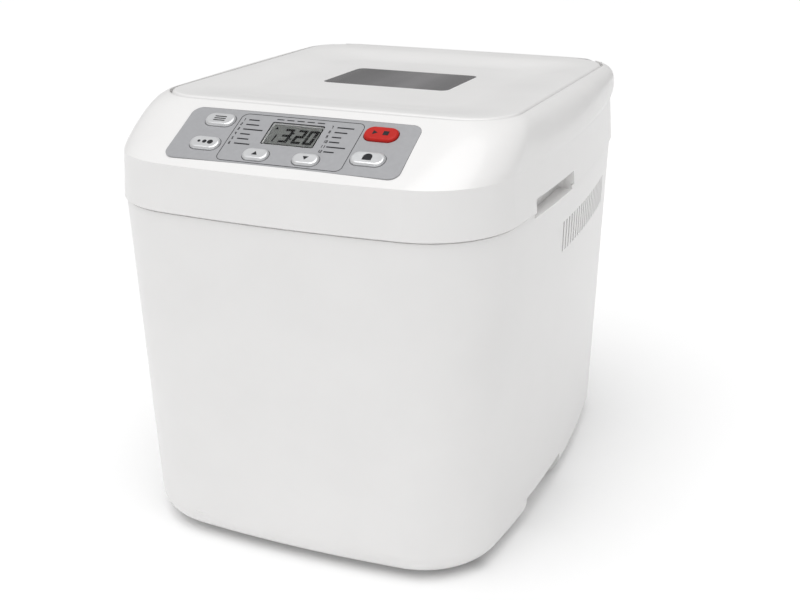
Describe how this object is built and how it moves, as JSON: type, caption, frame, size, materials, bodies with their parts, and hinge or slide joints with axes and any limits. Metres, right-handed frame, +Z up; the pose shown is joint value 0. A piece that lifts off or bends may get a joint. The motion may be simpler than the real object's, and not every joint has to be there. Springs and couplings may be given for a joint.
{
  "type": "bread machine",
  "caption": "Countertop bread machine: tapered tub, sloping console with display and keys, hinged lid with window, lift-out pan with bail, belt-driven kneading paddle.",
  "frame": {"origin": "centre of the bounding box in plan, at the underside of the feet", "axes": "+Z up, +X to the machine's right as the console is faced from the front, +Y to the back"},
  "size_m": [0.2524, 0.3024, 0.262],
  "materials": {
    "white_plastic": "moulded satin gloss",
    "galvanised_steel": "zinc coated sheet",
    "black_rubber": "matt",
    "bright_steel": "bright",
    "element_sheath": "heat darkened",
    "white_ceramic": "fired, unglazed",
    "cast_aluminium": "as cast",
    "bearing_brass": "turned",
    "dark_nonstick": "non-stick coating",
    "motor_enamel": "dark enamel",
    "black_plastic": "moulded",
    "board_green": "solder mask",
    "silver_label": "printed film",
    "display_grey": "display face",
    "clear_lens": "clear",
    "smoked_glass": "smoked",
    "pale_button": "satin",
    "red_button": "satin"
  },
  "bodies": {
    "housing": {"body_shell": "white_plastic", "upper_frame": "white_plastic", "base_plate": "galvanised_steel", "oven_chamber": "galvanised_steel", "chamber_deck": "galvanised_steel", "motor_bracket": "galvanised_steel", "rubber_feet": "black_rubber", "drive_belt": "black_rubber", "base_screws": "bright_steel", "frame_screws": "bright_steel", "hinge_pins": "bright_steel", "socket_springs": "bright_steel", "element_clips": "bright_steel", "heating_element": "element_sheath", "element_insulators": "white_ceramic", "pan_socket": "cast_aluminium", "run_capacitor": "cast_aluminium", "temperature_sensor": "cast_aluminium", "thermal_fuse": "cast_aluminium", "drive_bush": "bearing_brass", "motor": "motor_enamel", "cord_gland": "black_plastic", "power_board": "board_green", "control_board": "board_green", "control_label": "silver_label", "lcd_module": "display_grey", "display_lens": "clear_lens"},
    "lid": {"lid_cover": "white_plastic", "window_pane": "smoked_glass", "window_gasket": "black_rubber", "lid_liner": "galvanised_steel", "lid_screws": "bright_steel"},
    "pan": {"bread_pan": "dark_nonstick", "pan_foot": "cast_aluminium", "pan_bush": "bearing_brass", "shaft_seal": "black_rubber", "handle_rivets": "bright_steel"},
    "handle": {"pan_handle": "bright_steel"},
    "paddle": {"pan_shaft": "bright_steel", "pan_coupling": "cast_aluminium", "kneading_paddle": "dark_nonstick"},
    "drive": {"drive_shaft": "bright_steel", "drive_pulley": "black_plastic", "drive_coupling": "cast_aluminium", "shaft_clip": "bright_steel"},
    "rotor": {"motor_shaft": "bright_steel", "motor_pulley": "black_plastic", "motor_fan": "black_plastic"},
    "menu_key": {"menu_button": "pale_button"},
    "colour_key": {"colour_button": "pale_button"},
    "up_key": {"up_button": "pale_button"},
    "down_key": {"down_button": "pale_button"},
    "start_key": {"start_button": "red_button"},
    "loaf_key": {"loaf_button": "pale_button"}
  },
  "joints": [
    {"name": "lid_hinge", "type": "hinge", "parent": "housing", "child": "lid", "pos_m": [0, 0.13441, 0.25262], "axis": [-1, 0, 0], "range_deg": [0, 105]},
    {"name": "pan_lift", "type": "slide", "parent": "housing", "child": "pan", "axis": [0, 0, 1], "range_m": [0, 0.01]},
    {"name": "handle_swing", "type": "hinge", "parent": "pan", "child": "handle", "pos_m": [0, 0.025, 0.18], "axis": [-1, 0, 0], "range_deg": [0, 142.9]},
    {"name": "drive_spin", "type": "hinge", "parent": "housing", "child": "drive", "pos_m": [0, 0.025, 0.03], "axis": [0, 0, 1], "continuous": true},
    {"name": "rotor_spin", "type": "hinge", "parent": "housing", "child": "rotor", "pos_m": [0, -0.1, 0.03], "axis": [0, 0, 1], "continuous": true},
    {"name": "paddle_spin", "type": "hinge", "parent": "pan", "child": "paddle", "pos_m": [0, 0.025, 0.06], "axis": [0, 0, 1], "continuous": true},
    {"name": "menu_press", "type": "slide", "parent": "housing", "child": "menu_key", "axis": [0, 0.4485, -0.8938], "range_m": [0, 0.0012], "stiffness_N_per_m": 300},
    {"name": "colour_press", "type": "slide", "parent": "housing", "child": "colour_key", "axis": [0, 0.4485, -0.8938], "range_m": [0, 0.0012], "stiffness_N_per_m": 300},
    {"name": "up_press", "type": "slide", "parent": "housing", "child": "up_key", "axis": [0, 0.4485, -0.8938], "range_m": [0, 0.0012], "stiffness_N_per_m": 300},
    {"name": "down_press", "type": "slide", "parent": "housing", "child": "down_key", "axis": [0, 0.4485, -0.8938], "range_m": [0, 0.0012], "stiffness_N_per_m": 300},
    {"name": "start_press", "type": "slide", "parent": "housing", "child": "start_key", "axis": [0, 0.4485, -0.8938], "range_m": [0, 0.0012], "stiffness_N_per_m": 300},
    {"name": "loaf_press", "type": "slide", "parent": "housing", "child": "loaf_key", "axis": [0, 0.4485, -0.8938], "range_m": [0, 0.0012], "stiffness_N_per_m": 300}
  ],
  "couplings": [
    {"joint": "drive_spin", "follows": "rotor_spin", "ratio": 0.23684},
    {"joint": "paddle_spin", "follows": "rotor_spin", "ratio": 0.23684}
  ]
}
